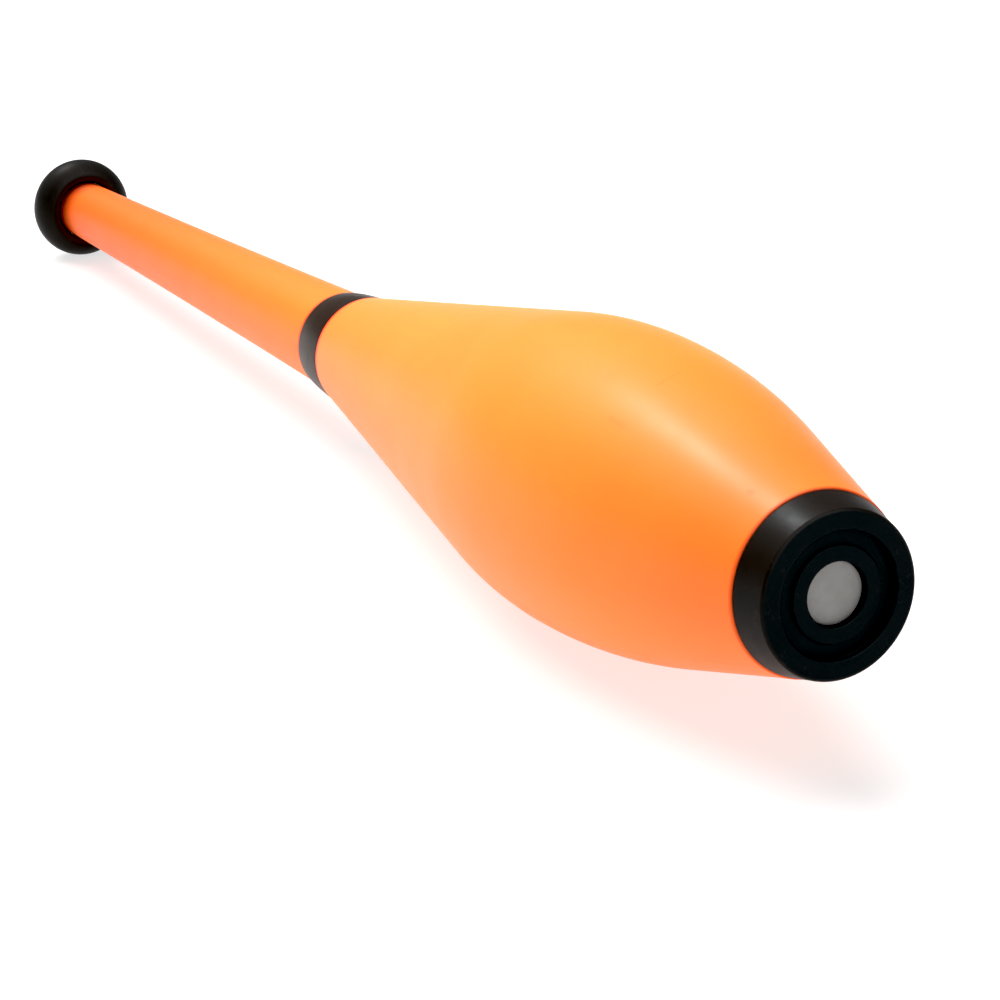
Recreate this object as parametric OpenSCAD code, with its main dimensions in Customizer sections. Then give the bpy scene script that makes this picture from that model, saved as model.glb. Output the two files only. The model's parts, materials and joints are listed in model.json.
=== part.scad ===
// Juggling club of the slim European pattern, lying on its side.
// Each piece is drawn about the club's own axis: the face of the cap is at z = 0 and the end of the
// knob is at z = club_length. lay() then sets it down on its belly and its knob. Sizes are millimetres.

/* [Club] */
// Overall length, from the face of the cap to the end of the knob
club_length = 518; // [505:1:530]
// Diameter of the wooden dowel that runs through the club
dowel_d = 15; // [14:0.1:15.2]

/* [Bulb] */
// Diameter of the belly, where the bulb is widest
belly_d = 82; // [76:0.5:90]
// Distance from the face of the cap to the belly
belly_z = 108; // [98:1:120]
// Radius of the arc that the belly follows towards the cap
front_arc_r = 220; // [180:5:250]
// Radius of the arc that the belly follows towards the neck
rear_arc_r = 183; // [140:1:220]
// Diameter of the bulb at its edge beside the cap
bulb_front_d = 46.4; // [44:0.2:50]
// Diameter of the bulb at its edge beside the ring
neck_d = 33.8; // [33:0.2:36]
// Distance from the face of the cap to the bulb's edge beside the ring
neck_z = 262.5; // [255:0.5:268]
// Thickness of the blow-moulded wall
bulb_wall = 1.4; // [1.2:0.1:1.8]

/* [Cap] */
// Length of the cap that shows
cap_h = 10; // [9:0.5:12]
// Diameter of the cap where it meets the bulb
cap_d = 45.8; // [43:0.2:49]
// Diameter of the cap at its face
cap_face_d = 41.9; // [38:0.1:43]
// Rounding of the edge of the face
cap_edge = 1; // [0.6:0.1:1.4]
// Diameter of the central hole, which the label disc closes
label_d = 15.9; // [14.5:0.1:17]
// Depth of the label disc below the face
label_depth = 2.7; // [1.5:0.1:2.8]
// Outer diameter of the boss around the hole
cap_boss_d = 24; // [20:0.2:26]
// Depth of the boss below the face
cap_boss_depth = 0.9; // [0:0.1:1.4]
// Outer diameter of the channel around the boss
channel_d = 31.6; // [28:0.2:36]
// Depth of the channel below the face
channel_depth = 1.5; // [0.4:0.1:1.8]

/* [Ring] */
// Length of the ring between the bulb and the handle
ring_h = 16; // [15:0.5:17]
// How far the ring stands proud of the handle
ring_proud = 0.35; // [0:0.05:0.5]
// How far the ring's side bulges between its two ends
ring_bulge = 0.25; // [0:0.05:0.5]

/* [Handle] */
// Diameter of the handle beside the ring
handle_front_d = 29.8; // [29:0.2:31]
// Diameter of the handle at its end inside the knob
handle_end_d = 19.2; // [19:0.1:19.4]
// How much the handle flares towards the ring, 0 for a straight cone
handle_flare = 0.2; // [0:0.05:0.4]
// Thickness of the handle's wall
handle_wall = 1.3; // [1:0.1:1.3]

/* [Knob] */
// Largest diameter of the knob
knob_d = 34; // [33.6:0.2:38]
// Radius of the knob's rounded back
knob_back_r = 9.5; // [8.5:0.1:9.6]
// Radius of the knob's rounded front
knob_front_r = 8.6; // [8.4:0.1:9.2]
// Rounding of the lip around the handle
knob_lip_r = 2.2; // [2:0.1:2.4]

/* [Screws] */
// Diameter of the wood screws' shanks
screw_d = 4; // [3.5:0.1:4.4]
// Length of the wood screws under the head
screw_l = 36; // [25:1:45]
// Diameter of the wood screws' heads
screw_head_d = 8; // [7:0.2:9]
// Number of nails through the bulb's neck
nail_count = 4; // [2:1:6]
// Diameter of the nails
nail_d = 1.4; // [1:0.1:1.6]

/* [Hidden] */
$fn = 96;
gap = 0.1;              // between pieces that slide together
slip = 0.05;            // between pieces that fit closely
arc_steps = 12;

orange = [1, 0.6, 0.28];
black = [0.09, 0.09, 0.09];
pale = [0.72, 0.71, 0.7];
white_plastic = [0.88, 0.88, 0.85];
beech = [0.8, 0.62, 0.42];
steel = [0.66, 0.67, 0.69];

belly_r = belly_d / 2;
cap_r = cap_d / 2;
bulb_front_r = bulb_front_d / 2;
neck_r = neck_d / 2;
dowel_r = dowel_d / 2;
bore_r = dowel_r + gap;
shank_r = screw_d / 2;
head_r = screw_head_d / 2;
knob_r = knob_d / 2;
label_r = label_d / 2;

// Stack of the cap, along the axis
label_t = 0.8;
head_h = 1.8;
washer_t = 1;
seat_z = label_depth + label_t;
washer_z = seat_z + head_h + 0.2;
web_z = washer_z + washer_t;
boss_end_z = web_z + 2.6;
plug_z = 3.6;
mouth_z = 4.5;
dowel_z = boss_end_z + 3;

washer_r = 6.3;
pocket_r = washer_r + 0.3;
boss_r = 9.3;
mouth_r = 18.6;
mouth_wall = 1.6;

// Neck of the bulb, which steps in under the ring
sleeve_r = 13.6;
sleeve_wall = 1.2;
sleeve_end_z = neck_z + ring_h - 3.5;
nail_z = neck_z + 6;
ring_end_z = neck_z + ring_h;
nail_head_r = 1.5;
nail_head_h = 0.5;
nail_l = 9;

// Knob, from its back forwards
knob_z = club_length - knob_back_r;
recess_r = handle_end_d / 2 + 0.35;
lip_r = recess_r + knob_lip_r;
knob_front_c = knob_r - knob_front_r;
lip_dz = sqrt((knob_front_r - knob_lip_r) ^ 2 - (lip_r - knob_front_c) ^ 2);
lip_a = acos((lip_r - knob_front_c) / (knob_front_r - knob_lip_r));
handle_end_z = club_length - 12;
core_z = handle_end_z + 0.3;
core_r = 11.6;
core_end_z = core_z + 5.7;
dowel_end_z = core_z + 1.7;
core_web_z = dowel_end_z + 2.5;

// The club rests on its belly and its knob, so its axis leans by the angle of their common tangent.
rest_dz = knob_z - belly_z;
rest_dr = (knob_r - knob_back_r) - (belly_r - rear_arc_r);
tilt = asin((rear_arc_r - knob_back_r) / norm([rest_dz, rest_dr])) - atan2(rest_dr, rest_dz);
axis_height = belly_z * sin(tilt) + (belly_r - rear_arc_r) * cos(tilt) + rear_arc_r;
face_flat_r = cap_face_d / 2 - cap_edge;
front_reach = face_flat_r * sin(tilt) + cap_edge * (1 - cos(tilt));
back_reach = knob_z * cos(tilt) + (knob_r - knob_back_r) * sin(tilt) + knob_back_r;
face_x = (back_reach - front_reach) / 2;

function reversed(list) = [for (i = [len(list) - 1 : -1 : 0]) list[i]];

// Points [r, z] of an arc about c. Angles are measured from the radial direction towards +z.
function arc(c, r, from, to, steps = arc_steps) =
    [for (i = [0 : steps]) let (a = from + (to - from) * i / steps) c + r * [cos(a), sin(a)]];

// Angle at which a straight side that starts at radius r, dz from the belly, meets a belly arc
function side_angle(dz, r, arc_r) =
    let (dr = r - (belly_r - arc_r)) atan2(dz, dr) - acos(arc_r / norm([dz, dr]));

front_a = side_angle(belly_z - cap_h, bulb_front_r, front_arc_r);
rear_a = side_angle(neck_z - belly_z, neck_r, rear_arc_r);

// The belly between its two straight sides, inset from the outside by t
function belly_outline(t = 0) = concat(
    arc([belly_r - front_arc_r, belly_z], front_arc_r - t, -front_a, 0),
    arc([belly_r - rear_arc_r, belly_z], rear_arc_r - t, rear_a / arc_steps, rear_a, arc_steps - 1));

// Inside radius of the bulb along its straight sides
function front_bore_r(z) =
    let (r = front_arc_r - bulb_wall)
    belly_r - front_arc_r + r * cos(front_a) - (belly_z - r * sin(front_a) - z) * tan(front_a);
function rear_bore_r(z) =
    let (r = rear_arc_r - bulb_wall)
    belly_r - rear_arc_r + r * cos(rear_a) - (z - belly_z - r * sin(rear_a)) * tan(rear_a);

// Outside radius of the handle
function handle_r(z) =
    let (t = (handle_end_z - z) / (handle_end_z - ring_end_z))
    handle_end_d / 2 + (handle_front_d - handle_end_d) / 2 * (t - handle_flare * t * (1 - t));

// Sets the club down on its side, with the cap towards +X
module lay() {
    translate([face_x, 0, axis_height])
        rotate([0, -90 - tilt, 0])
            children();
}

// A solid turned about the club's axis from an outline of [r, z] points
module turned(outline) {
    lay()
        rotate_extrude()
            polygon(outline);
}

// Flat ribs between two radii, evenly spaced around the axis
module ribs(count, r0, r1, z0, z1, t = 1.4) {
    for (i = [0 : count - 1])
        rotate([0, 0, i * 360 / count])
            translate([r0, -t / 2, z0])
                cube([r1 - r0, t, z1 - z0]);
}

module pipe(r0, r1, z0, z1) {
    translate([0, 0, z0])
        difference() {
            cylinder(r = r1, h = z1 - z0);
            translate([0, 0, -1])
                cylinder(r = r0, h = z1 - z0 + 2);
        }
}

// A moulded spacer: hub on the dowel, ribs, and a rim that follows the handle's bore
module spacer(z0, z1, hub_t, rim_t) {
    rim_r0 = handle_r(z0) - handle_wall - slip;
    rim_r1 = handle_r(z1) - handle_wall - slip;
    lay() {
        pipe(bore_r, bore_r + hub_t, z0, z1);
        rotate_extrude()
            polygon([[rim_r0 - rim_t, z0], [rim_r0, z0], [rim_r1, z1], [rim_r1 - rim_t, z1]]);
        ribs(6, bore_r + hub_t / 2, rim_r1 - rim_t / 2, z0, z1);
    }
}

// Shank and point of a wood screw whose head sits at z = 0, pointing up the axis
module screw_shank() {
    cylinder(r = shank_r, h = screw_l - 4, $fn = 48);
    translate([0, 0, screw_l - 4])
        cylinder(r1 = shank_r, r2 = 0.4, h = 4, $fn = 48);
}

// Pan head with a cross recess, below z = 0
module screw_head() {
    difference() {
        rotate_extrude($fn = 48)
            polygon([[0, -head_h], [head_r - 1.2, -head_h], [head_r - 0.4, -head_h + 0.5],
                     [head_r, -head_h + 1.1], [head_r, 0], [0, 0]]);
        for (turn = [0, 90])
            rotate([0, 0, turn])
                translate([-2.3, -0.45, -head_h - 1])
                    cube([4.6, 0.9, 2]);
    }
}

module washer(z) {
    lay()
        pipe(shank_r + 0.3, washer_r, z, z + washer_t);
}

// A nail along +X, with its head resting on the neck sleeve
module nail(clear = 0) {
    rotate([0, -90, 0]) {
        translate([0, 0, -sleeve_r])
            cylinder(r = nail_d / 2 + clear, h = nail_l - 1, $fn = 32);
        translate([0, 0, -sleeve_r + nail_l - 1])
            cylinder(r1 = nail_d / 2 + clear, r2 = 0.2 + clear, h = 1, $fn = 32);
    }
}

module around_neck() {
    for (i = [0 : nail_count - 1])
        rotate([0, 0, (i + 0.5) * 360 / nail_count])
            translate([0, 0, nail_z])
                children();
}

// ---- What shows ----

// Hollow body: open mouth at the cap, belly, straight taper to the neck, and a sleeve under the ring
module bulb_shell() {
    sleeve_bore_r = sleeve_r - sleeve_wall;
    outside = concat(
        [[mouth_r - mouth_wall, mouth_z], [mouth_r, mouth_z], [mouth_r, cap_h],
         [bulb_front_r, cap_h]],
        belly_outline(),
        [[neck_r, neck_z], [sleeve_r, neck_z], [sleeve_r, sleeve_end_z]]);
    inside = concat(
        [[mouth_r - mouth_wall, cap_h + bulb_wall], [front_bore_r(cap_h + bulb_wall), cap_h + bulb_wall]],
        belly_outline(bulb_wall),
        [[rear_bore_r(neck_z - bulb_wall), neck_z - bulb_wall], [sleeve_bore_r, neck_z - bulb_wall],
         [sleeve_bore_r, sleeve_end_z]]);
    color(orange)
        difference() {
            turned(concat(outside, reversed(inside)));
            lay()
                around_neck()
                    nail(0.02);
        }
}

// Smooth tapered tube from the ring into the knob
module handle_sleeve() {
    steps = 10;
    stations = [for (i = [0 : steps]) ring_end_z + (handle_end_z - ring_end_z) * i / steps];
    color(orange)
        turned(concat(
            [for (z = stations) [handle_r(z), z]],
            [for (z = reversed(stations)) [handle_r(z) - handle_wall, z]]));
}

// Conical ring that hides the nails and the neck sleeve
module neck_ring() {
    front_r = neck_r - 0.1;
    back_r = handle_front_d / 2 + ring_proud;
    edge = 0.5;
    groove_r = sleeve_r + nail_head_h + 0.4;
    side = [for (t = [0 : 0.2 : 0.81])
        [front_r + (back_r - front_r) * t + ring_bulge * 4 * t * (1 - t), neck_z + ring_h * t]];
    color(black)
        turned(concat(
            [[sleeve_r + gap, neck_z]],
            side,
            arc([back_r - edge, ring_end_z - edge], edge, 0, 90, 4),
            [[sleeve_r - sleeve_wall, ring_end_z], [sleeve_r - sleeve_wall, sleeve_end_z + gap],
             [sleeve_r + gap, sleeve_end_z + gap], [sleeve_r + gap, nail_z + 2.4],
             [groove_r, nail_z + 2.4], [groove_r, nail_z - 2.4], [sleeve_r + gap, nail_z - 2.4]]));
}

// Bumper on the big end, with the screw's pocket behind the label disc
module top_cap() {
    cover_r = mouth_r + gap;
    color(black)
        turned(concat(
            [[label_r, seat_z], [label_r, cap_boss_depth], [cap_boss_d / 2, cap_boss_depth],
             [cap_boss_d / 2, channel_depth], [channel_d / 2, channel_depth], [channel_d / 2, 0]],
            arc([face_flat_r, cap_edge], cap_edge, -90, 0, 6),
            [[cap_r, cap_h], [cover_r, cap_h], [cover_r, plug_z], [boss_r, plug_z], [boss_r, boss_end_z],
             [shank_r + 0.4, boss_end_z], [shank_r + 0.4, web_z], [pocket_r, web_z],
             [pocket_r, seat_z]]));
}

// Plain disc over the screw, very slightly crowned
module label_disc() {
    r = label_r - slip;
    color(pale)
        turned([[0, label_depth], [r - 0.5, label_depth + 0.1], [r, label_depth + 0.4],
                [r, seat_z], [0, seat_z]]);
}

// Soft round knob: rounded back, rounded front and a lip that the handle dives into
module knob() {
    plug_r = pocket_r + 0.2;
    color(black)
        turned(concat(
            [[plug_r, core_end_z], [plug_r, club_length - 0.5], [plug_r + 0.5, club_length]],
            arc([knob_r - knob_back_r, knob_z], knob_back_r, 90, 0),
            arc([knob_front_c, knob_z], knob_front_r, -lip_a / arc_steps, -lip_a, arc_steps - 1),
            arc([lip_r, knob_z - lip_dz], knob_lip_r, -lip_a - 15, -180, 8),
            [[recess_r, core_z], [core_r + gap, core_z], [core_r + gap, core_end_z]]));
}

// ---- What is inside ----

// Wooden stick, with the pilot holes of its screws and nails
module dowel() {
    color(beech)
        lay()
            difference() {
                translate([0, 0, dowel_z])
                    cylinder(r = dowel_r, h = dowel_end_z - dowel_z);
                translate([0, 0, washer_z])
                    screw_shank();
                translate([0, 0, core_web_z + washer_t])
                    mirror([0, 0, 1])
                        screw_shank();
                around_neck()
                    nail(0.02);
            }
}

// Rigid plug that closes the bulb's mouth and holds the front of the dowel
module top_plug() {
    skirt_r = mouth_r - mouth_wall - gap;
    skirt_end_z = mouth_z + 17;
    hub_r = 11;
    socket_end_z = dowel_z + 20;
    color(white_plastic)
        lay()
            difference() {
                union() {
                    translate([0, 0, plug_z])
                        cylinder(r = mouth_r, h = mouth_z - plug_z);
                    translate([0, 0, plug_z])
                        cylinder(r = skirt_r, h = 2.4);
                    pipe(skirt_r - 1.6, skirt_r, mouth_z, skirt_end_z);
                    translate([0, 0, plug_z])
                        cylinder(r = hub_r, h = socket_end_z - plug_z);
                    ribs(6, hub_r - 0.5, skirt_r - 0.8, mouth_z, skirt_end_z);
                }
                translate([0, 0, plug_z - 1])
                    cylinder(r = boss_r + gap, h = boss_end_z - plug_z + 1);
                cylinder(r = shank_r + 0.3, h = socket_end_z, $fn = 48);
                translate([0, 0, dowel_z])
                    cylinder(r = dowel_r + slip, h = socket_end_z);
            }
}

module top_washer() {
    color(steel)
        washer(washer_z);
}

module top_screw() {
    color(steel)
        lay()
            translate([0, 0, washer_z]) {
                screw_head();
                screw_shank();
            }
}

// Rigid bush that fills the bulb's neck and grips the dowel
module neck_bush() {
    head_z = neck_z - bulb_wall;
    front_z = head_z - 22;
    rim_t = 1.5;
    front_rim_r = rear_bore_r(front_z) - gap;
    rear_rim_r = rear_bore_r(head_z) - gap;
    hub_r = 10;
    color(white_plastic)
        lay()
            difference() {
                union() {
                    rotate_extrude()
                        polygon([[front_rim_r - rim_t, front_z], [front_rim_r, front_z],
                                 [rear_rim_r, head_z - gap], [rear_rim_r - rim_t, head_z - gap]]);
                    translate([0, 0, head_z - 3])
                        cylinder(r = rear_rim_r - rim_t / 2, h = 3 - gap);
                    translate([0, 0, front_z])
                        cylinder(r = hub_r, h = head_z - front_z - gap);
                    ribs(6, hub_r - 0.5, rear_rim_r - rim_t / 2, front_z, head_z - 1);
                    translate([0, 0, head_z - 1])
                        cylinder(r = sleeve_r - sleeve_wall - slip, h = sleeve_end_z + 2 - head_z + 1);
                }
                translate([0, 0, front_z - 1])
                    cylinder(r = bore_r, h = sleeve_end_z - front_z + 4);
                around_neck()
                    nail(0.02);
            }
}

// Nails through the neck sleeve and the bush into the dowel
module neck_nails() {
    color(steel)
        lay()
            around_neck() {
                nail();
                translate([sleeve_r, 0, 0])
                    rotate([0, 90, 0])
                        cylinder(r = nail_head_r, h = nail_head_h, $fn = 32);
            }
}

module front_spacer() {
    color(white_plastic)
        spacer(ring_end_z + 0.5, ring_end_z + 12.5, 1.8, 1.4);
}

module middle_spacer() {
    middle_z = (ring_end_z + handle_end_z) / 2;
    color(white_plastic)
        spacer(middle_z - 5, middle_z + 5, 0.9, 0.9);
}

// The dowel nearly fills the handle's end, so this one is a thin plain bush.
module rear_spacer() {
    z0 = handle_end_z - 25;
    z1 = handle_end_z - 5;
    inset = handle_wall + slip;
    color(white_plastic)
        turned([[bore_r, z0], [handle_r(z0) - inset, z0], [handle_r(z1) - inset, z1], [bore_r, z1]]);
}

// Rigid core that the soft knob is moulded around
module knob_core() {
    color(white_plastic)
        turned([[dowel_r + slip, core_z], [core_r, core_z], [core_r, core_end_z],
                [pocket_r, core_end_z], [pocket_r, core_web_z], [shank_r + 0.3, core_web_z],
                [shank_r + 0.3, dowel_end_z], [dowel_r + slip, dowel_end_z]]);
}

module knob_washer() {
    color(steel)
        washer(core_web_z);
}

module knob_screw() {
    color(steel)
        lay()
            translate([0, 0, core_web_z + washer_t])
                mirror([0, 0, 1]) {
                    screw_head();
                    screw_shank();
                }
}

// Soft plug over the rear screw, sunk a little below the knob's end
module knob_plug() {
    r = pocket_r + 0.2 - slip;
    back_z = club_length - 0.6;
    color(black)
        turned([[0, back_z - 2.4], [r, back_z - 2.4], [r, back_z - 0.4], [r - 0.6, back_z - 0.1],
                [0, back_z]]);
}

bulb_shell();
handle_sleeve();
neck_ring();
top_cap();
label_disc();
knob();
dowel();
top_plug();
top_washer();
top_screw();
neck_bush();
neck_nails();
front_spacer();
middle_spacer();
rear_spacer();
knob_core();
knob_washer();
knob_screw();
knob_plug();
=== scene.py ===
import json
import math

import bmesh
import bpy
from mathutils import Matrix, Vector, noise


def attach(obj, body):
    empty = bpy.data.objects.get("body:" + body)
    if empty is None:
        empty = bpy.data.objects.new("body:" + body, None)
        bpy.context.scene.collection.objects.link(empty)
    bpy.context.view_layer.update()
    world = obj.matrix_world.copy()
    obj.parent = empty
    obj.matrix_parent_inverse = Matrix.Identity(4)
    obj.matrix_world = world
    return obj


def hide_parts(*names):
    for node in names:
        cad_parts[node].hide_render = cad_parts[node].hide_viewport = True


# Looks of the juggling club. Every visible piece is turned about the club's own axis: stations are
# measured along it from the face of the cap, radii from it. Sizes below are millimetres.
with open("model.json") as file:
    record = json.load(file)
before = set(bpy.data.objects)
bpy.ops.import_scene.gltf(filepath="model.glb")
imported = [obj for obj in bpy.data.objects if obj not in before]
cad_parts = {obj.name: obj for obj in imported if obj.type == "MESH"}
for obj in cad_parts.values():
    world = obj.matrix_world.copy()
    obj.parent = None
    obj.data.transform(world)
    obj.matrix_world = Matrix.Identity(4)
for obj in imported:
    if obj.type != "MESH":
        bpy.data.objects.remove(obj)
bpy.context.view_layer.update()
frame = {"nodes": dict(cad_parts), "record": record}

MM = 0.001

# ---- Sizes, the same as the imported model's ----
CLUB_LENGTH = 518.0
CAP_FLAT_R = 19.95
CAP_CHANNEL_R = 15.8
CAP_H = 10.0
CAP_R = 22.9
CAP_EDGE = 1.0
BULB_FRONT_R = 23.2
BELLY_R, BELLY_Z = 41.0, 108.0
FRONT_ARC_R, REAR_ARC_R = 220.0, 183.0
NECK_R, NECK_Z = 16.9, 262.5
BULB_WALL = 1.4
MOUTH_R, MOUTH_Z, MOUTH_WALL = 18.6, 4.5, 1.6
SLEEVE_R, SLEEVE_WALL, SLEEVE_END_Z = 13.6, 1.2, 275.0
RING_H, RING_BACK_R, RING_BULGE = 16.0, 15.25, 0.25
RING_END_Z = NECK_Z + RING_H
HANDLE_FRONT_R, HANDLE_END_R, HANDLE_FLARE, HANDLE_WALL = 14.9, 9.6, 0.2, 1.3
HANDLE_END_Z = CLUB_LENGTH - 12.0
KNOB_R, KNOB_BACK_R, KNOB_FRONT_R, KNOB_LIP_R = 17.0, 9.5, 8.6, 2.2
KNOB_Z = CLUB_LENGTH - KNOB_BACK_R
LIP_CREST_Z = 501.0  # about where the knob's lip comes nearest to the cap
CORE_Z = HANDLE_END_Z + 0.3
CORE_END_Z = CORE_Z + 5.7
GAP, SLIP = 0.1, 0.05  # between pieces that slide together, and between pieces that fit closely

# ---- The club's axis, from the mount on the face of the cap ----
mount = next(m for m in frame["record"]["mounts"] if m["name"] == "cap_face")
OUTWARD = Vector(mount["axis"]).normalized()
UPWARD = Vector((-OUTWARD.z, 0.0, OUTWARD.x))
SIDEWAYS = Vector((0.0, 1.0, 0.0))
FACE = Vector(mount["pos_m"]) + UPWARD * (CAP_CHANNEL_R + CAP_FLAT_R) / 2 * MM


def place(r, z, turn):
    """The point at radius r and station z, turn radians round from the top towards +Y."""
    across = UPWARD * (r * math.cos(turn)) + SIDEWAYS * (r * math.sin(turn))
    return FACE + (across - OUTWARD * z) * MM


# ---- Outlines ----
CRISP, EASED, SOFT, BLUNT = 0.1, 0.2, 0.3, 0.5  # corner radii
CORNER_STEPS = 4
FLAT_EDGE = 0.25  # how far from a rounding the point lies that keeps its neighbour flat
SHORTEST_FLAT = 0.6
BIG_ROUND, SLIM_ROUND, ROUND, SMALL_ROUND = 224, 144, 160, 96  # points round a turned piece


def arc(cr, cz, r, start, end, steps):
    """Points [r, z] of an arc; angles in degrees from the radial direction towards the knob."""
    turns = [math.radians(start + (end - start) * i / steps) for i in range(steps + 1)]
    return [(cr + r * math.cos(t), cz + r * math.sin(t)) for t in turns]


def side_angle(dz, r, arc_r):
    """Angle at which a straight side from radius r, dz from the belly, meets a belly arc."""
    dr = r - (BELLY_R - arc_r)
    return math.degrees(math.atan2(dz, dr) - math.acos(arc_r / math.hypot(dz, dr)))


def rounded(corners, step):
    """An outline whose corners (r, z, radius) are rounded, with a point about every step between.

    A point close to each rounding keeps the flat beside it flat in shading."""
    rows = []
    count = len(corners)
    for i, (r, z, radius) in enumerate(corners):
        here = Vector((r, z))
        if radius <= 0:
            rows.append([here])
            continue
        back = (Vector(corners[i - 1][:2]) - here).normalized()
        ahead = (Vector(corners[(i + 1) % count][:2]) - here).normalized()
        half = back.angle(ahead) / 2
        reach = radius / math.tan(half)
        centre = here + (back + ahead).normalized() * (radius / math.sin(half))
        start, end = here + back * reach - centre, here + ahead * reach - centre
        rows.append([centre + start.slerp(end, k / CORNER_STEPS).normalized() * radius
                     for k in range(CORNER_STEPS + 1)])
    points = []
    for i, row in enumerate(rows):
        points += row
        following = rows[(i + 1) % count]
        span = (following[0] - row[-1]).length
        parts = int(span / step)
        cuts = {k / parts for k in range(1, parts)}
        if span > SHORTEST_FLAT and len(row) > 1:
            cuts.add(FLAT_EDGE / span)
        if span > SHORTEST_FLAT and len(following) > 1:
            cuts.add(1 - FLAT_EDGE / span)
        points += [row[-1].lerp(following[0], c) for c in sorted(cuts)]
    return [tuple(p) for p in points]


def turned(name, outline, turns, inset=None):
    """A closed solid turned from an outline. inset(r, z, turn) is how far a point moves inwards."""
    bm = bmesh.new()
    loops = []
    for r, z in outline:
        if r < 1e-6:
            loops.append([bm.verts.new(place(0.0, z, 0.0))])
            continue
        row = []
        for turn in turns:
            pull = inset(r, z, turn) if inset else 0.0
            row.append(bm.verts.new(place(r - pull, z, turn)))
        loops.append(row)
    count = len(turns)
    for a, b in zip(loops, loops[1:] + loops[:1]):
        if len(a) == 1 and len(b) == 1:
            continue
        for k in range(count):
            n = (k + 1) % count
            if len(a) == 1:
                bm.faces.new((a[0], b[k], b[n]))
            elif len(b) == 1:
                bm.faces.new((a[k], b[0], a[n]))
            else:
                bm.faces.new((a[k], b[k], b[n], a[n]))
    bmesh.ops.recalc_face_normals(bm, faces=bm.faces)
    mesh = bpy.data.meshes.new(name)
    bm.to_mesh(mesh)
    bm.free()
    mesh.polygons.foreach_set("use_smooth", [True] * len(mesh.polygons))
    obj = bpy.data.objects.new(name, mesh)
    bpy.context.scene.collection.objects.link(obj)
    shading = obj.modifiers.new("even_shading", "WEIGHTED_NORMAL")
    shading.weight = 100
    return obj


def evenly(count):
    """Turns that share out a full circle."""
    return [2 * math.pi * k / count for k in range(count)]


# ---- Mould lines and unevenness of the blown plastic ----
SEAM_TURNS = (math.radians(38.0), math.radians(218.0))
SEAM_HEIGHT, SEAM_WIDTH = 0.04, 0.35
WAVE_DEPTH = 0.08
BROAD_WAVES, FINE_WAVES = 22.0, 70.0  # per metre
TRUE_RUN = 8.0  # over which the waviness grows from nothing at each end
BULB_SKIN_R, HANDLE_SKIN_R = 32.0, 12.0  # typical radii, at which a mould line has its width


def blown_turns(count, r):
    """Turns round a blown piece, with extra ones across its two mould lines."""
    turns = set(evenly(count))
    for seam in SEAM_TURNS:
        for k in range(-3, 4):
            turns.add((seam + k * SEAM_WIDTH / 2 / r) % (2 * math.pi))
    return sorted(turns)


def blown_inset(start_z, end_z, skin_r):
    """Slight waviness of a blown skin, and its mould lines standing proud of that."""
    def inset(r, z, turn):
        point = place(r, z, turn)
        wave = 0.5 + 0.5 * noise.noise(point * BROAD_WAVES) + 0.15 * noise.noise(point * FINE_WAVES)
        free = min(1.0, max(0.0, (z - start_z) / TRUE_RUN), max(0.0, (end_z - z) / TRUE_RUN))
        seam = 0.0
        for line in SEAM_TURNS:
            off = (turn - line + math.pi) % (2 * math.pi) - math.pi
            seam = max(seam, math.exp(-(off * skin_r / SEAM_WIDTH) ** 2))
        return free * (WAVE_DEPTH * max(0.0, wave) + SEAM_HEIGHT * (1.0 - seam))
    return inset


# ---- Material building blocks ----
USUAL_NOISE = (0.3, 0.7)  # nearly all of a noise texture's values lie between these


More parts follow.
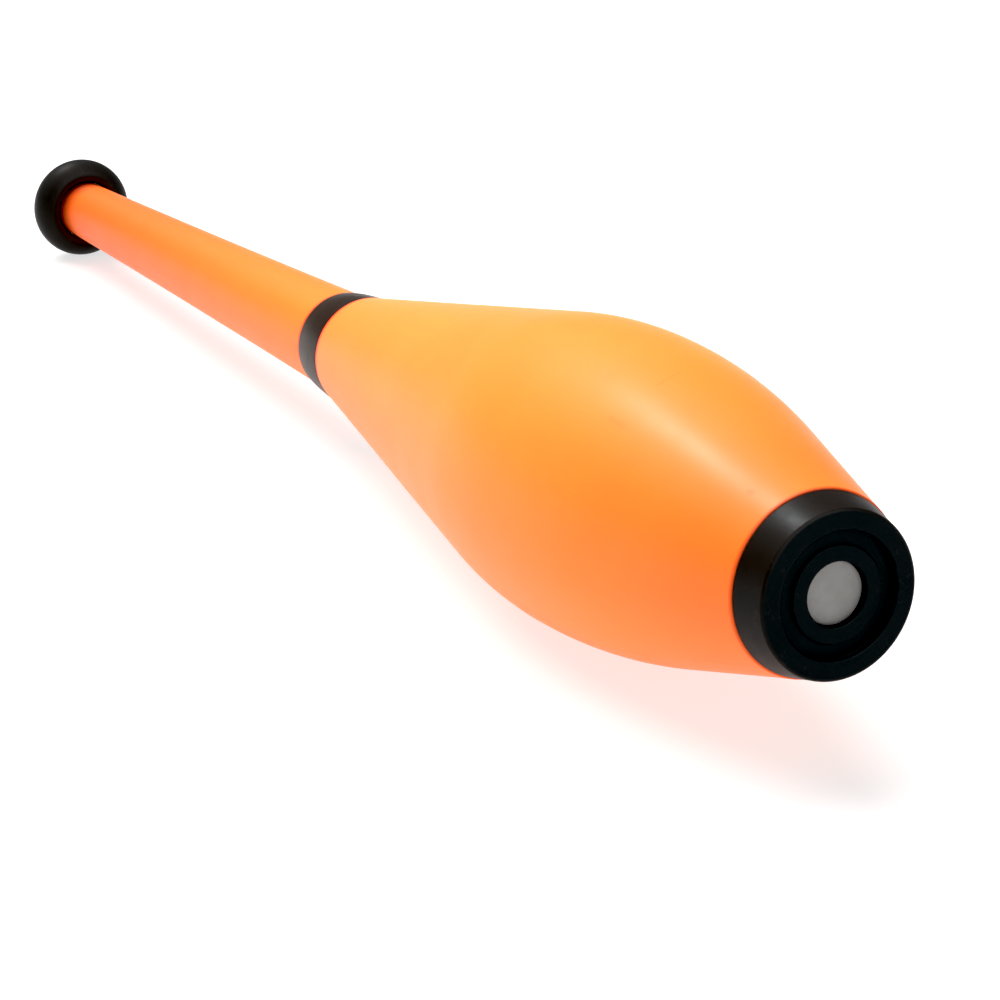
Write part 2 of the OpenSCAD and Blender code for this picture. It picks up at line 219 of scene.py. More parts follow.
class Nodes:
    """A small helper around one material's node tree. Noise scales are waves per metre."""

    def __init__(self, name):
        self.material = bpy.data.materials.new(name)
        self.material.use_nodes = True
        self.tree = self.material.node_tree
        self.shader = self.tree.nodes["Principled BSDF"]
        self.where = self.add("ShaderNodeTexCoord").outputs["Object"]

    def add(self, kind, links=None, **values):
        node = self.tree.nodes.new(kind)
        for key, value in values.items():
            setattr(node, key, value)
        for key, value in (links or {}).items():
            self.put(node.inputs[key], value)
        return node

    def put(self, socket, value):
        if isinstance(value, bpy.types.NodeSocket):
            self.tree.links.new(value, socket)
        else:
            socket.default_value = value

    def noise(self, scale, detail=2.0, rough=0.5, where=None):
        node = self.add("ShaderNodeTexNoise", {
            "Vector": where or self.where, "Scale": scale, "Detail": detail, "Roughness": rough})
        return node.outputs["Fac"]

    def uneven(self, low, high, scale, detail=2.0, rough=0.5):
        """A value that wanders between low and high."""
        return self.span(self.noise(scale, detail, rough), *USUAL_NOISE, low, high)

    def stretched(self, scale, turn=(0.0, 0.0, 0.0)):
        """Coordinates turned by Euler angles and then multiplied by a scale for each axis."""
        node = self.add("ShaderNodeMapping", {
            "Vector": self.where, "Rotation": turn, "Scale": [1.0 / s for s in scale]},
            vector_type="TEXTURE")
        return node.outputs["Vector"]

    def span(self, value, low, high, to_low=0.0, to_high=1.0, smooth=False):
        """Carries a value from one range to another, and no further."""
        node = self.add("ShaderNodeMapRange", {
            "Value": value, "From Min": low, "From Max": high, "To Min": to_low, "To Max": to_high})
        node.interpolation_type = "SMOOTHSTEP" if smooth else "LINEAR"
        return node.outputs["Result"]

    def math(self, operation, a, b=0.0):
        node = self.add("ShaderNodeMath", operation=operation)
        self.put(node.inputs[0], a)
        self.put(node.inputs[1], b)
        return node.outputs["Value"]

    def mix(self, factor, a, b):
        node = self.add("ShaderNodeMix", data_type="RGBA")
        self.put(node.inputs["Factor"], factor)
        self.put(node.inputs["A"], a)
        self.put(node.inputs["B"], b)
        return node.outputs["Result"]

    def vector(self, operation, links):
        """A vector node; links are by the number of the socket."""
        return self.add("ShaderNodeVectorMath", links, operation=operation)

    def away_from(self, point):
        """The way from a fixed point to the point being shaded."""
        return self.vector("SUBTRACT", {0: self.where, 1: point}).outputs["Vector"]

    def station(self):
        """Distance along the club from the face of the cap, in millimetres."""
        along = self.vector("DOT_PRODUCT", {0: self.away_from(FACE), 1: -OUTWARD / MM})
        return along.outputs["Value"]

    def radius(self):
        """Distance from the club's axis, in millimetres."""
        across = self.vector("CROSS_PRODUCT", {0: self.away_from(FACE), 1: OUTWARD / MM})
        return self.vector("LENGTH", {0: across.outputs["Vector"]}).outputs["Value"]

    def line(self, start, end, width):
        """1 on the straight line between two points, fading out over a width in millimetres."""
        run = end - start
        away = self.away_from(start)
        along = self.vector("DOT_PRODUCT", {0: away, 1: run / run.length_squared})
        reached = self.span(along.outputs["Value"], 0.0, 1.0)
        foot = self.vector("SCALE", {0: run, "Scale": reached})
        gap = self.vector("DISTANCE", {0: away, 1: foot.outputs["Vector"]})
        return self.span(gap.outputs["Value"], 0.0, width * MM, 1.0, 0.0, smooth=True)

    def bump(self, height, distance, strength=1.0, below=None):
        """A relief up to a distance in millimetres, on top of the one below."""
        links = {"Height": height, "Distance": distance * MM, "Strength": strength}
        if below is not None:
            links["Normal"] = below
        return self.add("ShaderNodeBump", links).outputs["Normal"]

    def finish(self, colour, rough, normal=None, **constants):
        """Wires up the shader, sets its constants and gives the material back."""
        self.put(self.shader.inputs["Base Color"], colour)
        self.put(self.shader.inputs["Roughness"], rough)
        if normal is not None:
            self.put(self.shader.inputs["Normal"], normal)
        for key, value in constants.items():
            self.shader.inputs[key.replace("_", " ")].default_value = value
        return self.material


def rgb(r, g, b):
    return (r, g, b, 1.0)


def hairlines(n, across, along, turn, low, high):
    """A mask of sparse fine scratches: noise squeezed into thin sheets, kept where it is high."""
    sheets = n.noise(1.0, where=n.stretched((along, across, along), turn))
    return n.span(sheets, low, high)


# ---- Orange plastic ----
ORANGE = rgb(0.99, 0.236, 0.031)
ORANGE_LIGHT = rgb(0.99, 0.258, 0.037)
# Partly painted shade: the deeper orange of thicker plastic, also standing for less light near the
# cap and towards the knob.
ORANGE_THICK_SHADED = rgb(0.98, 0.140, 0.018)
# Painted shade: the deep red of the thin line where the orange meets a black piece.
ORANGE_EDGE_SHADE = rgb(0.92, 0.030, 0.005)
# Painted shadow on the handle where it dives under the knob's lip.
RECESS_SHADE = rgb(0.22, 0.018, 0.006)
SPOT = rgb(0.55, 0.16, 0.05)
MARK = rgb(0.70, 0.13, 0.01)
EDGE_CORE = 0.4  # half the width over which a cut edge's painted shade line is at its deepest
SHADE_RUN, SHADE_DEPTH, SHADE_RAGGED = 12.0, 0.86, 1.0
SPOT_DEPTH = 0.10
SATIN = (0.38, 0.43)
SCUFF_ROUGHNESS = 0.10
SCATTER = dict(Subsurface_Weight=0.12, Subsurface_Scale=0.003, Subsurface_Radius=(1.0, 0.35, 0.1))


def orange_plastic(name, gloss, shaded_edges, thin_lit_z, thick_shaded_z, deepening, shade_from=None, marks=()):
    """Satin polyethylene, with a thin line of painted shade at its cut edges.

    Each cut edge is a station, how far its painted shade line reaches and how deep it is. From
    station thin_lit_z to thick_shaded_z the colour deepens, for thicker plastic and as painted
    shade
    where less light reaches: deepening is how far it is on the way to the deepest colour at each. A
    painted shadow darkens the handle where it dives into the knob. Marks are small darker streaks
    and
    spots: two ends, a width and how dark each is."""
    n = Nodes(name)
    cloud = n.noise(14.0, detail=3.0, rough=0.55)
    colour = n.mix(n.span(cloud, 0.35, 0.65), ORANGE, ORANGE_LIGHT)
    station = n.station()
    # Deeper towards thick_shaded_z: the thicker plastic's tone, with painted shade where less light
    # reaches.
    thick_and_shaded = n.span(station, thin_lit_z, thick_shaded_z, *deepening, smooth=True)
    colour = n.mix(thick_and_shaded, colour, ORANGE_THICK_SHADED)
    # Painted shade: a thin deeper line at each cut edge, for the shade in the gap beside the black
    # pieces.
    for edge, reach, depth in shaded_edges:
        away = n.math("ABSOLUTE", n.math("SUBTRACT", station, edge))
        colour = n.mix(n.span(away, EDGE_CORE, reach, depth, 0.0, smooth=True), colour, ORANGE_EDGE_SHADE)
    # Painted shadow: the handle darkens towards the knob's lip, where it goes into the recess.
    if shade_from:
        ragged = n.math("ADD", station, n.uneven(-SHADE_RAGGED, SHADE_RAGGED, 90.0, detail=3.0))
        recess_shade = n.span(ragged, shade_from, shade_from + SHADE_RUN, 0.0, SHADE_DEPTH, smooth=True)
        colour = n.mix(recess_shade, colour, RECESS_SHADE)
    spots = n.span(n.noise(46.0, detail=5.0, rough=0.7), 0.60, 0.78)
    colour = n.mix(n.math("MULTIPLY", spots, SPOT_DEPTH), colour, SPOT)
    for start, end, width, darkness in marks:
        colour = n.mix(n.math("MULTIPLY", n.line(start, end, width), darkness), colour, MARK)
    hairs = n.math("MAXIMUM",
                   hairlines(n, 1500.0, 18.0, (0.5, 0.0, 0.4), 0.71, 0.78),
                   hairlines(n, 1300.0, 24.0, (2.0, 0.0, -0.3), 0.72, 0.79))
    patch = n.span(n.noise(26.0), 0.50, 0.66)
    scuffs = n.math("MULTIPLY", hairs, patch)
    rough = n.uneven(*SATIN, 60.0, detail=4.0, rough=0.6)
    rough = n.math("ADD", rough, n.math("MULTIPLY", scuffs, SCUFF_ROUGHNESS))
    skin = n.bump(n.noise(900.0), distance=0.03, strength=0.35)
    normal = n.bump(n.math("MULTIPLY", scuffs, -1.0), distance=0.02, strength=0.3, below=skin)
    return n.finish(colour, rough, normal, IOR=1.5, Specular_IOR_Level=gloss, **SCATTER)


# ---- Black rubber ----
# Painted light: the cap's side is painted lighter and browner than its face, which is left in
# painted shade.
LIT_SIDE = rgb(0.0085, 0.0064, 0.0050)
LIT_SIDE_PALE = rgb(0.0130, 0.0098, 0.0078)
WORN_POLISH, SIDE_RUN = 0.12, 0.6
# Painted light: orange light bounced from the handle, painted on the knob's shaded inner lip.
LIP_BOUNCE = rgb(0.052, 0.030, 0.020)
LIP_RUN, LIP_END_RUN = 1.4, 2.0
DUST = rgb(0.075, 0.062, 0.052)
DUST_DEPTH = 0.2
SCRAPE_POLISH = 0.08


def black_rubber(name, base, light, satin, grain, gloss, sheen, face_r=None, lip_r=None):
    """Moulded black rubber with a fine grain and a little pale dust in it.

    Its roughness wanders within satin. Beyond face_r from the axis its side is shinier than its
    face
    and is painted lighter and browner: painted light on the side, with the face left in painted
    shade.
    Inside lip_r the lip is painted paler and redder: painted orange light bounced from the handle."""
    n = Nodes(name)
    cloud = n.uneven(0.0, 1.0, 55.0, detail=4.0, rough=0.6)
    colour = n.mix(cloud, base, light)
    # Painted light on the side beyond face_r, lighter and browner than the face.
    if face_r:
        side = n.span(n.radius(), face_r, face_r + SIDE_RUN)
        colour = n.mix(side, colour, n.mix(cloud, LIT_SIDE, LIT_SIDE_PALE))
    # Painted orange bounce light on the shaded inner lip, close to the handle.
    if lip_r:
        near = n.span(n.radius(), lip_r - LIP_RUN, lip_r, 1.0, 0.0, smooth=True)
        ahead = n.span(n.station(), CORE_END_Z - LIP_END_RUN, CORE_END_Z, 1.0, 0.0)
        colour = n.mix(n.math("MULTIPLY", near, ahead), colour, LIP_BOUNCE)
    specks = n.span(n.noise(420.0, detail=4.0, rough=0.75), 0.58, 0.74)
    dusty = n.span(n.noise(30.0, detail=3.0), 0.42, 0.66, 0.0, DUST_DEPTH)
    colour = n.mix(n.math("MULTIPLY", specks, dusty), colour, DUST)
    rough = n.uneven(*satin, 140.0, detail=4.0, rough=0.6)
    fine = n.bump(n.noise(grain, detail=3.0, rough=0.6), distance=0.06, strength=0.5)
    scrape = hairlines(n, 900.0, 40.0, (0.3, 0.2, 0.9), 0.66, 0.74)
    normal = n.bump(n.math("MULTIPLY", scrape, -1.0), distance=0.04, strength=0.5, below=fine)
    rough = n.math("SUBTRACT", rough, n.math("MULTIPLY", scrape, SCRAPE_POLISH))
    if face_r:
        rough = n.math("SUBTRACT", rough, n.math("MULTIPLY", side, WORN_POLISH))
    return n.finish(colour, rough, normal, IOR=1.45, Specular_IOR_Level=gloss,
                    Specular_Tint=sheen)


# ---- The other materials ----
def label_plastic():
    """The disc in the cap: painted pale grey, faintly mottled; the grey is painted shade on a white
    disc.
    """
    n = Nodes("label_plastic")
    # Painted shade: the white disc is painted grey for the shade on the cap's face.
    colour = n.mix(n.uneven(0.0, 1.0, 260.0, detail=4.0, rough=0.6),
                   rgb(0.215, 0.205, 0.195), rgb(0.255, 0.245, 0.235))
    rough = n.uneven(0.42, 0.55, 700.0, detail=3.0)
    return n.finish(colour, rough, n.bump(n.noise(1800.0), distance=0.03, strength=0.4))


def inner_plastic():
    """Milky moulded plastic of the plugs, bushes and spacers."""
    n = Nodes("inner_plastic")
    colour = n.mix(n.uneven(0.0, 1.0, 90.0, detail=3.0),
                   rgb(0.74, 0.73, 0.68), rgb(0.82, 0.81, 0.77))
    rough = n.uneven(0.38, 0.52, 300.0, detail=3.0)
    return n.finish(colour, rough, n.bump(n.noise(1200.0), distance=0.04, strength=0.4))


def dowel_wood():
    """Beech with its grain along the stick and short dark flecks."""
    n = Nodes("dowel_wood")
    along_dowel = n.stretched((6.0, 260.0, 260.0), (0.0, -math.asin(OUTWARD.z), 0.0))
    grain = n.noise(1.0, detail=5.0, rough=0.6, where=along_dowel)
    flecks = n.span(n.noise(1.0, where=n.stretched((160.0, 1500.0, 1500.0))), 0.64, 0.72, 0.0, 0.5)
    colour = n.mix(n.span(grain, 0.35, 0.65), rgb(0.50, 0.32, 0.17), rgb(0.66, 0.46, 0.28))
    colour = n.mix(flecks, colour, rgb(0.30, 0.16, 0.08))
    rough = n.span(grain, *USUAL_NOISE, 0.5, 0.62)
    return n.finish(colour, rough, n.bump(grain, distance=0.1, strength=0.4))


def fastener_steel():
    """Zinc-plated steel with fine brushing and a little tarnish."""
    n = Nodes("fastener_steel")
    brush = n.noise(1.0, detail=3.0, rough=0.6, where=n.stretched((300.0, 3000.0, 3000.0)))
    tarnish = n.span(n.noise(180.0, detail=4.0, rough=0.7), 0.45, 0.7)
    colour = n.mix(tarnish, rgb(0.62, 0.62, 0.64), rgb(0.42, 0.40, 0.37))
    rough = n.span(brush, *USUAL_NOISE, 0.24, 0.42)
    return n.finish(colour, rough, n.bump(brush, distance=0.02, strength=0.4), Metallic=1.0)


def wear(obj, material):
    """Gives every face of a piece or CAD node one material."""
    obj.data.materials.clear()
    obj.data.materials.append(material)


def stands_for(obj, material, node):
    """Gives a piece its material and lets it stand for its CAD node."""
    wear(obj, material)
    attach(obj, "root")
    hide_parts(node)


# ---- Bulb ----
BULB_RIM = 0.45
OUTER_STEPS, INNER_STEPS = 48, 24
front_a = side_angle(BELLY_Z - CAP_H, BULB_FRONT_R, FRONT_ARC_R)
rear_a = side_angle(NECK_Z - BELLY_Z, NECK_R, REAR_ARC_R)


def belly(inset, steps):
    """The belly between its two straight sides."""
    front = arc(BELLY_R - FRONT_ARC_R, BELLY_Z, FRONT_ARC_R - inset, -front_a, 0.0, steps)
    rear = arc(BELLY_R - REAR_ARC_R, BELLY_Z, REAR_ARC_R - inset, 0.0, rear_a, steps)
    return [(r, z, 0.0) for r, z in front + rear[1:]]


def bore_r(z, arc_r, angle, towards):
    """Inside radius of the bulb along a straight side: towards is -1 at the cap, 1 at the neck."""
    t = math.radians(angle)
    r = arc_r - BULB_WALL
    start_r = BELLY_R - arc_r + r * math.cos(t)
    return start_r - (towards * (z - BELLY_Z) - r * math.sin(t)) * math.tan(t)


FRONT_BORE_Z = CAP_H + BULB_WALL
NECK_BORE_Z = NECK_Z - BULB_WALL
SLEEVE_BORE_R = SLEEVE_R - SLEEVE_WALL
bulb_outline = rounded(
    [(MOUTH_R - MOUTH_WALL, MOUTH_Z, SOFT), (MOUTH_R, MOUTH_Z, SOFT), (MOUTH_R, CAP_H, SOFT),
     (BULB_FRONT_R, CAP_H, BULB_RIM)]
    + belly(0.0, OUTER_STEPS)
    + [(NECK_R, NECK_Z, BLUNT), (SLEEVE_R, NECK_Z, SOFT), (SLEEVE_R, SLEEVE_END_Z, SOFT),
       (SLEEVE_BORE_R, SLEEVE_END_Z, SOFT), (SLEEVE_BORE_R, NECK_BORE_Z, SOFT),
       (bore_r(NECK_BORE_Z, REAR_ARC_R, rear_a, 1), NECK_BORE_Z, SOFT)]
    + belly(BULB_WALL, INNER_STEPS)[::-1]
    + [(bore_r(FRONT_BORE_Z, FRONT_ARC_R, front_a, -1), FRONT_BORE_Z, SOFT),
       (MOUTH_R - MOUTH_WALL, FRONT_BORE_Z, SOFT)],
    step=4.0)
bulb_skin = blown_inset(CAP_H, NECK_Z, BULB_SKIN_R)


def bulb_mid_r(z):
    """Radius halfway through the bulb's wall at a station."""
    dz = z - BELLY_Z
    arc_r, angle = (FRONT_ARC_R, front_a) if dz < 0 else (REAR_ARC_R, rear_a)
    t = math.radians(angle)
    past_arc = abs(dz) - arc_r * math.sin(t)
    if past_arc < 0:
        outer = BELLY_R - arc_r + math.sqrt(arc_r ** 2 - dz ** 2)
    else:
        outer = BELLY_R - arc_r + arc_r * math.cos(t) - past_arc * math.tan(t)
    return outer - BULB_WALL / 2


def bulb_inset(r, z, turn):
    """Only the outside of the body is wavy; its bore, mouth and neck sleeve stay true."""
    outside = CAP_H < z < NECK_Z and r > bulb_mid_r(z)
    return bulb_skin(r, z, turn) if outside else 0.0


bulb = turned("bulb", bulb_outline, blown_turns(BIG_ROUND, BULB_SKIN_R), bulb_inset)


def on_bulb(z, degrees):
    """The point of the bulb's skin at a station, some degrees round from the top towards +Y."""
    return place(bulb_mid_r(z) + BULB_WALL / 2, z, math.radians(degrees))


BULB_MARKS = [
    (on_bulb(68.1, -14.7), on_bulb(70.5, -2.9), 0.5, 0.4),    # a fine scratch
    (on_bulb(68.0, -37.2), on_bulb(62.7, -37.7), 1.3, 0.2),   # a smudge
    (on_bulb(19.1, -29.3), on_bulb(18.5, -29.3), 1.5, 0.7)]   # a blemish beside the cap
bulb_look = orange_plastic(
    "orange_bulb", gloss=0.20, shaded_edges=((CAP_H, 1.1, 0.45), (NECK_Z, 3.0, 1.0)),
    thin_lit_z=75.0, thick_shaded_z=12.0, deepening=(0.0, 0.5), marks=BULB_MARKS)
stands_for(bulb, bulb_look, "bulb_shell")


# ---- Handle ----
HANDLE_STEPS = 40


def handle_r(z):
    """Radius of the handle at a station: a taper that flares slightly towards the ring."""
    t = (HANDLE_END_Z - z) / (HANDLE_END_Z - RING_END_Z)
    return HANDLE_END_R + (HANDLE_FRONT_R - HANDLE_END_R) * (t - HANDLE_FLARE * t * (1 - t))


def handle_inset(r, z, turn):
    """Only the outside of the handle is wavy."""
    return handle_skin(r, z, turn) if r > handle_r(z) - HANDLE_WALL / 2 else 0.0


handle_length = HANDLE_END_Z - RING_END_Z
stations = [RING_END_Z + handle_length * i / HANDLE_STEPS for i in range(HANDLE_STEPS + 1)]
handle_ends = {stations[0]: SOFT, stations[-1]: SOFT}
handle_outline = rounded(
    [(handle_r(z), z, handle_ends.get(z, 0.0)) for z in stations]
    + [(handle_r(z) - HANDLE_WALL, z, handle_ends.get(z, 0.0)) for z in reversed(stations)],
    step=6.0)
handle_skin = blown_inset(RING_END_Z, HANDLE_END_Z, HANDLE_SKIN_R)
handle = turned("handle", handle_outline, blown_turns(SLIM_ROUND, HANDLE_SKIN_R), handle_inset)
handle_look = orange_plastic(
    "orange_handle", gloss=0.17, shaded_edges=((RING_END_Z, 2.4, 0.9),),
    thin_lit_z=RING_END_Z, thick_shaded_z=HANDLE_END_Z, deepening=(0.30, 1.0),
    shade_from=LIP_CREST_Z - SHADE_RUN)
stands_for(handle, handle_look, "handle_sleeve")

# ---- Ring: sits on the bulb's neck sleeve, grooved inside over the heads of the nails ----
RING_STEPS = 10
RING_STEP_IN = 0.1  # how far its front stays inside the bulb's shoulder
RING_RIM = 0.35
RING_BORE_R, RING_SEAT_Z = SLEEVE_R + GAP, SLEEVE_END_Z + GAP
GROOVE_R, GROOVE_START_Z, GROOVE_END_Z = SLEEVE_R + 0.9, NECK_Z + 3.6, NECK_Z + 8.4
ring_front_r = NECK_R - RING_STEP_IN
ring_rims = {0: RING_RIM, RING_STEPS: BLUNT}
ring_side = []
for i in range(RING_STEPS + 1):
    t = i / RING_STEPS
    r = ring_front_r + (RING_BACK_R - ring_front_r) * t + RING_BULGE * 4 * t * (1 - t)
    ring_side.append((r, NECK_Z + RING_H * t, ring_rims.get(i, 0.0)))
ring_outline = rounded(
    [(RING_BORE_R, NECK_Z, CRISP)] + ring_side
    + [(SLEEVE_BORE_R, RING_END_Z, EASED), (SLEEVE_BORE_R, RING_SEAT_Z, CRISP),
       (RING_BORE_R, RING_SEAT_Z, CRISP), (RING_BORE_R, GROOVE_END_Z, CRISP),
       (GROOVE_R, GROOVE_END_Z, CRISP), (GROOVE_R, GROOVE_START_Z, CRISP),
       (RING_BORE_R, GROOVE_START_Z, CRISP)],
    step=4.0)
ring = turned("ring", ring_outline, evenly(ROUND))
ring_look = black_rubber(
    "ring_rubber", base=rgb(0.016, 0.0080, 0.0045), light=rgb(0.023, 0.0125, 0.0075),
    satin=(0.30, 0.38), grain=1500.0, gloss=0.14, sheen=rgb(1.0, 0.88, 0.78))
stands_for(ring, ring_look, "neck_ring")

# ---- Cap: channel, boss and the disc's recess in its face, and a hub for the screw behind ----
LABEL_R, LABEL_DEPTH, LABEL_T = 7.95, 2.7, 0.8
BOSS_R, BOSS_DEPTH, CHANNEL_DEPTH = 12.0, 0.9, 1.5
SEAT_Z = LABEL_DEPTH + LABEL_T
PLUG_Z = 3.6
SCREW_ROOM, WEB_T = 3.0, 2.6
WEB_Z = SEAT_Z + SCREW_ROOM
HUB_R, HUB_END_Z = 9.3, WEB_Z + WEB_T
POCKET_R, BORE_R = 6.6, 2.4
FACE_RIM, BOSS_RIM, BACK_RIM = 0.4, 0.25, 0.35
CAP_EDGE_STEPS = 8
cap_outline = rounded(
    [(LABEL_R, SEAT_Z, 0.0), (LABEL_R, BOSS_DEPTH, FACE_RIM), (BOSS_R, BOSS_DEPTH, BOSS_RIM),
     (BOSS_R, CHANNEL_DEPTH, EASED), (CAP_CHANNEL_R, CHANNEL_DEPTH, SOFT),
     (CAP_CHANNEL_R, 0.0, FACE_RIM)]
    + [(r, z, 0.0) for r, z in arc(CAP_FLAT_R, CAP_EDGE, CAP_EDGE, -90, 0, CAP_EDGE_STEPS)]
    + [(CAP_R, CAP_H, BACK_RIM), (MOUTH_R + GAP, CAP_H, EASED), (MOUTH_R + GAP, PLUG_Z, EASED),
       (HUB_R, PLUG_Z, SOFT), (HUB_R, HUB_END_Z, SOFT), (BORE_R, HUB_END_Z, EASED),
       (BORE_R, WEB_Z, EASED), (POCKET_R, WEB_Z, EASED), (POCKET_R, SEAT_Z, EASED)],
    step=3.0)
cap = turned("cap", cap_outline, evenly(BIG_ROUND))
cap_look = black_rubber(
    "cap_rubber", base=rgb(0.0018, 0.0026, 0.0028), light=rgb(0.0030, 0.0042, 0.0044),
    satin=(0.48, 0.58), grain=1700.0, gloss=0.13, sheen=rgb(0.86, 0.96, 1.0), face_r=CAP_FLAT_R)
stands_for(cap, cap_look, "top_cap")

# ---- Label disc: slightly crowned ----
CROWN_STEPS, CROWN_HEIGHT = 12, 0.14
disc_r = LABEL_R - SLIP
disc_rim_z = LABEL_DEPTH + CROWN_HEIGHT
crown = [(disc_r * k / CROWN_STEPS, LABEL_DEPTH + CROWN_HEIGHT * (k / CROWN_STEPS) ** 2, 0.0)
         for k in range(CROWN_STEPS)]
label_outline = rounded(
    crown + [(disc_r, disc_rim_z, SOFT), (disc_r, SEAT_Z, CRISP), (0.0, SEAT_Z, 0.0)], step=2.0)
label = turned("label", label_outline, evenly(SMALL_ROUND))
stands_for(label, label_plastic(), "label_disc")

# ---- Knob: round at the back, with a lip that turns in round the handle ----
KNOB_STEPS, LIP_STEPS = 24, 16
RECESS_GAP = 0.35
front_c = KNOB_R - KNOB_FRONT_R
recess_r = HANDLE_END_R + RECESS_GAP
lip_c = recess_r + KNOB_LIP_R
lip_dz = math.sqrt((KNOB_FRONT_R - KNOB_LIP_R) ** 2 - (lip_c - front_c) ** 2)
lip_a = math.degrees(math.acos((lip_c - front_c) / (KNOB_FRONT_R - KNOB_LIP_R)))
PLUG_HOLE_R = POCKET_R + 0.2
CORE_R = 11.7
knob_back = arc(KNOB_R - KNOB_BACK_R, KNOB_Z, KNOB_BACK_R, 90, 0, KNOB_STEPS)
knob_front = arc(front_c, KNOB_Z, KNOB_FRONT_R, 0, -lip_a, KNOB_STEPS)
knob_lip = arc(lip_c, KNOB_Z - lip_dz, KNOB_LIP_R, -lip_a, -180, LIP_STEPS)
knob_outline = rounded(
    [(PLUG_HOLE_R, CORE_END_Z, 0.0), (PLUG_HOLE_R, CLUB_LENGTH, BLUNT)]
    + [(r, z, 0.0) for r, z in knob_back + knob_front[1:] + knob_lip[1:]]
    + [(recess_r, CORE_Z, 0.0), (CORE_R, CORE_Z, CRISP), (CORE_R, CORE_END_Z, CRISP)],
    step=3.0)
knob = turned("knob_cover", knob_outline, evenly(ROUND))
knob_look = black_rubber(
    "knob_rubber", base=rgb(0.0105, 0.0100, 0.0090), light=rgb(0.0140, 0.0132, 0.0120),
    satin=(0.42, 0.52), grain=1300.0, gloss=0.11, sheen=rgb(1.0, 0.92, 0.86), lip_r=12.4)
stands_for(knob, knob_look, "knob")

# ---- Plug over the rear screw, with a shallow dimple ----
PLUG_T, PLUG_SUNK, PLUG_CROWN = 2.4, 0.6, 0.1
DIMPLE_DEPTH, DIMPLE_RIM_R, DIMPLE_R = 0.3, 2.2, 1.8
plug_r = PLUG_HOLE_R - SLIP
plug_back = CLUB_LENGTH - PLUG_SUNK
plug_outline = rounded(
    [(0.0, plug_back - PLUG_T, 0.0), (plug_r, plug_back - PLUG_T, SOFT),
     (plug_r, plug_back - PLUG_CROWN, BLUNT), (DIMPLE_RIM_R, plug_back, SOFT),
     (DIMPLE_R, plug_back - DIMPLE_DEPTH, EASED), (0.0, plug_back - DIMPLE_DEPTH, 0.0)],
    step=1.5)
end_plug = turned("end_plug", plug_outline, evenly(SMALL_ROUND))
stands_for(end_plug, knob_look, "knob_plug")

# ---- The pieces inside keep their shape ----
milky, wood, steel = inner_plastic(), dowel_wood(), fastener_steel()
INSIDE = {
    "dowel": wood, "top_plug": milky, "neck_bush": milky, "front_spacer": milky,
    "middle_spacer": milky, "rear_spacer": milky, "knob_core": milky, "top_washer": steel,
    "top_screw": steel, "neck_nails": steel, "knob_washer": steel, "knob_screw": steel}
for name, material in INSIDE.items():
    wear(frame["nodes"][name], material)

# ---- Floor: pale paper that glows a little, as an overexposed table does ----
FLOOR_HALF = 12.0
FLOOR_GLOW = 0.69
FLOOR_ROUGHNESS = 0.7
floor_mesh = bpy.data.meshes.new("floor")
floor_mesh.from_pydata(
    [(-FLOOR_HALF, -FLOOR_HALF, 0), (FLOOR_HALF, -FLOOR_HALF, 0), (FLOOR_HALF, FLOOR_HALF, 0),
     (-FLOOR_HALF, FLOOR_HALF, 0)], [], [(0, 1, 2, 3)])
floor = bpy.data.objects.new("floor", floor_mesh)
bpy.context.scene.collection.objects.link(floor)
paper = Nodes("floor_paper")
paper_colour = paper.mix(paper.noise(3.0, detail=3.0), rgb(0.36, 0.36, 0.36), rgb(0.38, 0.38, 0.38))
wear(floor, paper.finish(paper_colour, FLOOR_ROUGHNESS, Emission_Color=rgb(1.0, 1.0, 1.0),
                         Emission_Strength=FLOOR_GLOW))


# ---- Light: a broad ceiling for the shading, and two lamps seen only as sheen ----
def sun(name, towards, strength, spread, lights=True, mirrored=True):
    """A soft light a long way off: spread is the angle it fills in the sky, in degrees."""
    lamp = bpy.data.objects.new(name, bpy.data.lights.new(name, "SUN"))
    lamp.data.energy = strength
    lamp.data.angle = math.radians(spread)
    lamp.rotation_mode = "QUATERNION"
    lamp.rotation_quaternion = Vector(towards).to_track_quat("Z", "Y")
    lamp.visible_diffuse = lights
    lamp.visible_glossy = mirrored
    bpy.context.scene.collection.objects.link(lamp)


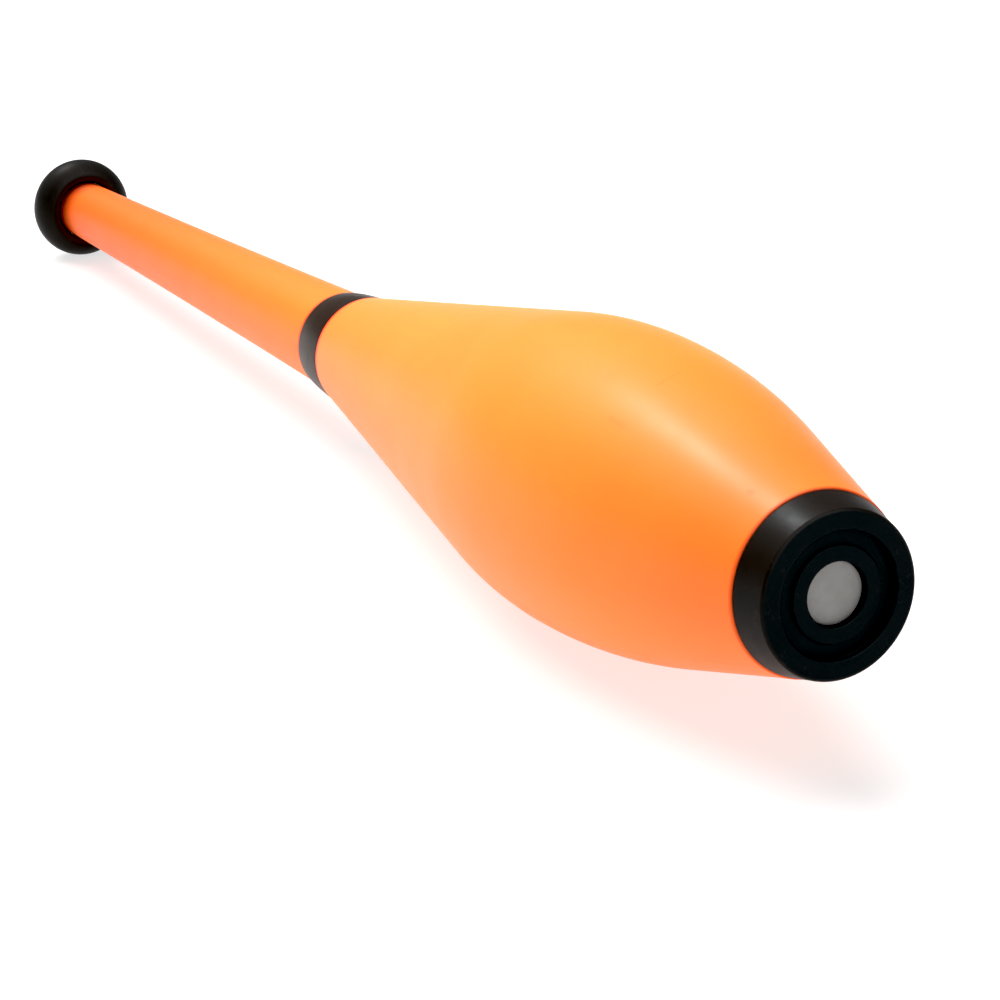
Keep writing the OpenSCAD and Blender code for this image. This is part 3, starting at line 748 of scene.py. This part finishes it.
sun("ceiling", (-0.54, -0.07, 0.84), strength=6.2, spread=60.0, mirrored=False)
sun("key", (-0.54, -0.11, 0.83), strength=1.75, spread=4.0, lights=False)
sun("skylight", (0.68, 0.10, 0.72), strength=4.0, spread=70.0, lights=False)

# ---- World: pure white behind the club, and a weaker white for its fill light ----
WORLD_FILL = 0.32
world = bpy.data.worlds.new("studio")
bpy.context.scene.world = world
world.use_nodes = True
sky = world.node_tree
ray = sky.nodes.new("ShaderNodeLightPath")
seen = sky.nodes.new("ShaderNodeMapRange")
seen.inputs["To Min"].default_value = WORLD_FILL
sky.links.new(ray.outputs["Is Camera Ray"], seen.inputs["Value"])
sky.links.new(seen.outputs["Result"], sky.nodes["Background"].inputs["Strength"])
sky.nodes["Background"].inputs["Color"].default_value = rgb(1.0, 1.0, 1.0)

# ---- Camera: where the photographer stood ----
CAMERA_AIM = Vector((0.1047, -0.0106, 0.0231))
CAMERA_AZIMUTH, CAMERA_ELEVATION = math.radians(63.43), math.radians(19.995)
CAMERA_DISTANCE = 0.9341
SENSOR_WIDTH, LENS = 36.0, 125.36
camera = bpy.data.objects.new("camera", bpy.data.cameras.new("camera"))
camera.data.sensor_width = SENSOR_WIDTH
camera.data.lens = LENS
camera.data.clip_start, camera.data.clip_end = 0.01, 100.0
back = Vector((math.sin(CAMERA_AZIMUTH) * math.cos(CAMERA_ELEVATION),
               -math.cos(CAMERA_AZIMUTH) * math.cos(CAMERA_ELEVATION), math.sin(CAMERA_ELEVATION)))
camera.matrix_world = (Matrix.Translation(CAMERA_AIM + back * CAMERA_DISTANCE)
                       @ back.to_track_quat("Z", "Y").to_matrix().to_4x4())
bpy.context.scene.collection.objects.link(camera)
bpy.context.scene.camera = camera

# ---- Grade: the photograph's crushed blacks ----
BLACK_POINT = 0.014
grade = bpy.context.scene.view_settings
grade.view_transform = "Standard"
grade.use_curve_mapping = True
grade.curve_mapping.black_level = (BLACK_POINT, BLACK_POINT, BLACK_POINT)
grade.curve_mapping.update()
